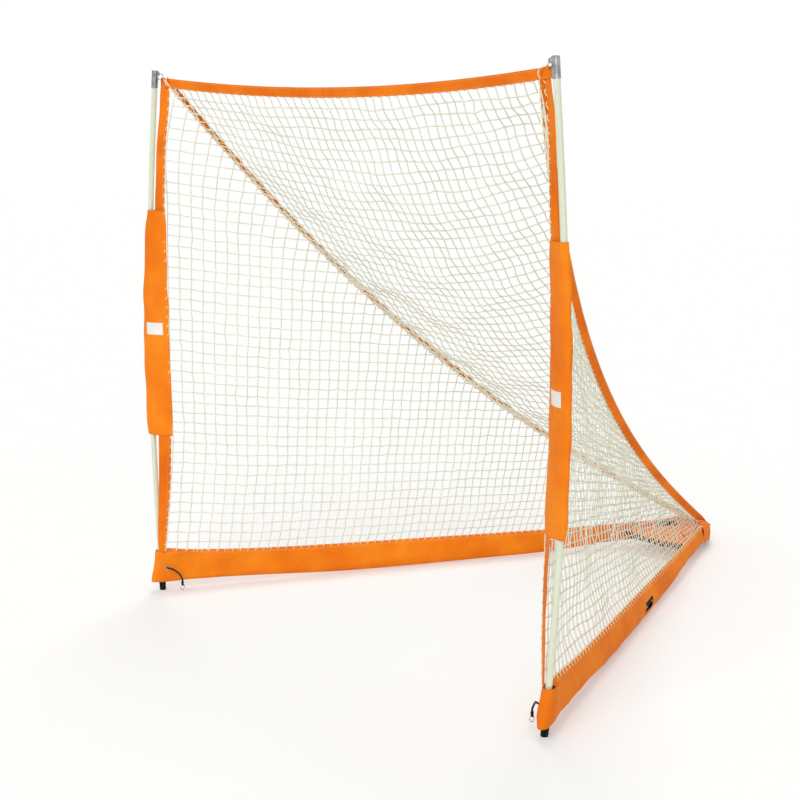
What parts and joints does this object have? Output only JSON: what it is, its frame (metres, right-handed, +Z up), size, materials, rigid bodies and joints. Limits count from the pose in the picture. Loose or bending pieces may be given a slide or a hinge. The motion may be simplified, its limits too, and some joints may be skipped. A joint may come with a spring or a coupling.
{
  "type": "lacrosse goal",
  "caption": "Portable goal with a square mouth between two bowed poles, a V-shaped folding base and a pyramid net.",
  "frame": {"origin": "middle of the goal's footprint, on the ground", "axes": "+X to the right of someone facing the mouth, +Y from the mouth to the apex, +Z up"},
  "size_m": [2.0424, 2.1626, 1.9068],
  "materials": {
    "steel": "satin",
    "bright": "polished",
    "fibreglass": "gloss",
    "rubber": "matte",
    "moulded": "matte",
    "webbing": "matte",
    "cloth": "matte",
    "netting": "matte",
    "cording": "matte"
  },
  "bodies": {
    "left": {"left_front_leg_tube": "steel", "left_rear_leg_tube": "steel", "left_leg_coupler": "moulded", "left_button_spring": "bright", "left_coupler_rivet": "bright", "left_corner_socket": "steel", "left_front_foot": "rubber", "left_lower_pole": "fibreglass", "left_upper_pole": "fibreglass", "left_pole_ferrule": "bright", "left_pole_cap": "bright", "left_corner_link": "bright", "left_mouth_tape": "webbing", "left_ridge_tape": "webbing", "left_pole_sleeve": "cloth", "left_corner_pocket": "cloth", "left_tie_grommet": "bright", "left_leg_skirt": "cloth", "left_side_net": "netting", "left_tie_cord": "cording", "left_tie_crimp": "moulded", "hinge_yoke": "steel", "hinge_washer": "bright", "hinge_bolt": "bright", "rear_foot": "rubber", "top_tape": "webbing", "apex_boot": "cloth", "back_net": "netting"},
    "right": {"right_front_leg_tube": "steel", "right_rear_leg_tube": "steel", "right_leg_coupler": "moulded", "right_button_spring": "bright", "right_coupler_rivet": "bright", "right_corner_socket": "steel", "right_front_foot": "rubber", "right_lower_pole": "fibreglass", "right_upper_pole": "fibreglass", "right_pole_ferrule": "bright", "right_pole_cap": "bright", "right_corner_link": "bright", "right_mouth_tape": "webbing", "right_ridge_tape": "webbing", "right_pole_sleeve": "cloth", "right_corner_pocket": "cloth", "right_tie_grommet": "bright", "right_leg_skirt": "cloth", "right_side_net": "netting", "right_tie_cord": "cording", "right_tie_crimp": "moulded", "hinge_tongue": "steel"},
    "left_button": {"left_snap_button": "bright"},
    "right_button": {"right_snap_button": "bright"},
    "left_ring": {"left_tie_ring": "bright"},
    "right_ring": {"right_tie_ring": "bright"}
  },
  "joints": [
    {"name": "base_fold", "type": "hinge", "parent": "left", "child": "right", "pos_m": [0, 1.04834, 0.05], "axis": [0, 0, 1], "range_deg": [-30, 0], "deforming": ["back_net", "top_tape", "apex_boot"]},
    {"name": "left_button_press", "type": "slide", "parent": "left", "child": "left_button", "axis": [0.9146, -0.4043, 0], "range_m": [0, 0.009], "stiffness_N_per_m": 700, "springref_m": -0.002, "deforming": ["left_button_spring"]},
    {"name": "left_ring_swing", "type": "hinge", "parent": "left", "child": "left_ring", "pos_m": [-0.8705, -1.01326, 0.0297], "axis": [0, 1, 0], "range_deg": [-60, 60]},
    {"name": "right_button_press", "type": "slide", "parent": "right", "child": "right_button", "axis": [-0.9146, -0.4043, 0], "range_m": [0, 0.009], "stiffness_N_per_m": 700, "springref_m": -0.002, "deforming": ["right_button_spring"]},
    {"name": "right_ring_swing", "type": "hinge", "parent": "right", "child": "right_ring", "pos_m": [0.8705, -1.01326, 0.0297], "axis": [0, 1, 0], "range_deg": [-60, 60]}
  ]
}
